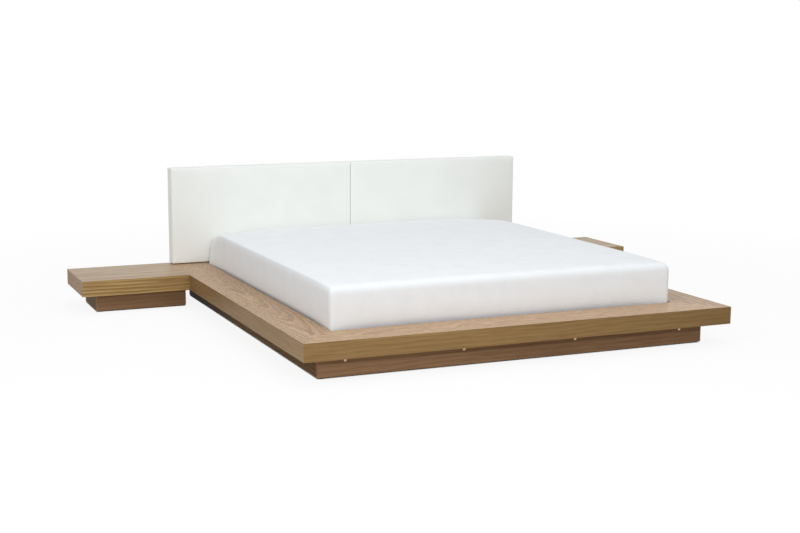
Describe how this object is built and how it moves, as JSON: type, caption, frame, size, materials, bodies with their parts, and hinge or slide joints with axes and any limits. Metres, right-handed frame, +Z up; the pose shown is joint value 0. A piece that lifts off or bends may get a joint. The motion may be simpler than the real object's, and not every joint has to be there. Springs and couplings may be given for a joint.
{
  "type": "double bed",
  "caption": "Low platform double bed: wide veneered ledge on a recessed plinth, padded white headboard, slab nightstands and a mattress that lifts off its slats.",
  "frame": {"origin": "on the floor, in the middle of the bed's outline", "axes": "+X across the bed to the right as seen from the foot, +Y from the foot to the headboard, +Z up"},
  "size_m": [3.41, 2.312, 0.748],
  "materials": {
    "oak_veneer": "satin",
    "plinth_veneer": "satin",
    "panel_board": "matte",
    "pine": "matte",
    "white_leather": "satin",
    "backing_cloth": "matte",
    "webbing": "matte",
    "ticking": "matte",
    "white_cotton": "matte",
    "black_plastic": "matte",
    "zinc": "satin",
    "black_rubber": "matte"
  },
  "bodies": {
    "bed_frame": {"bearer_1": "pine", "bearer_2": "pine", "bearer_3": "pine", "bearer_4": "pine", "bearer_legs": "pine", "bolt_nuts": "zinc", "foot_apron": "oak_veneer", "foot_ledge_top": "oak_veneer", "foot_plinth_board": "plinth_veneer", "foot_recess_rail": "panel_board", "foot_underside": "panel_board", "glides": "black_plastic", "head_apron": "oak_veneer", "head_ledge_top": "oak_veneer", "head_plinth_board": "plinth_veneer", "head_recess_rail": "panel_board", "headboard_back_covers": "backing_cloth", "headboard_bolts": "zinc", "headboard_spacers": "black_rubber", "joining_plates": "zinc", "left_apron": "oak_veneer", "left_headboard_frame": "pine", "left_headboard_pad": "white_leather", "left_ledge_top": "oak_veneer", "left_nightstand_back": "oak_veneer", "left_nightstand_end": "oak_veneer", "left_nightstand_front": "oak_veneer", "left_nightstand_inner_board": "panel_board", "left_nightstand_plinth_back": "plinth_veneer", "left_nightstand_plinth_end": "plinth_veneer", "left_nightstand_plinth_front": "plinth_veneer", "left_nightstand_top": "oak_veneer", "left_nightstand_underside": "panel_board", "left_plinth_board": "plinth_veneer", "left_recess_rail": "panel_board", "left_underside": "panel_board", "plinth_bolts": "zinc", "plinth_corner_blocks": "pine", "right_apron": "oak_veneer", "right_headboard_frame": "pine", "right_headboard_pad": "white_leather", "right_ledge_top": "oak_veneer", "right_nightstand_back": "oak_veneer", "right_nightstand_end": "oak_veneer", "right_nightstand_front": "oak_veneer", "right_nightstand_inner_board": "panel_board", "right_nightstand_plinth_back": "plinth_veneer", "right_nightstand_plinth_end": "plinth_veneer", "right_nightstand_plinth_front": "plinth_veneer", "right_nightstand_top": "oak_veneer", "right_nightstand_underside": "panel_board", "right_plinth_board": "plinth_veneer", "right_recess_rail": "panel_board", "right_underside": "panel_board", "slat_straps": "webbing", "slats": "pine"},
    "mattress": {"mattress": "ticking", "fitted_sheet": "white_cotton"}
  },
  "joints": [
    {"name": "mattress_lift", "type": "slide", "parent": "bed_frame", "child": "mattress", "axis": [0, 0, 1], "range_m": [0, 0.35]}
  ]
}
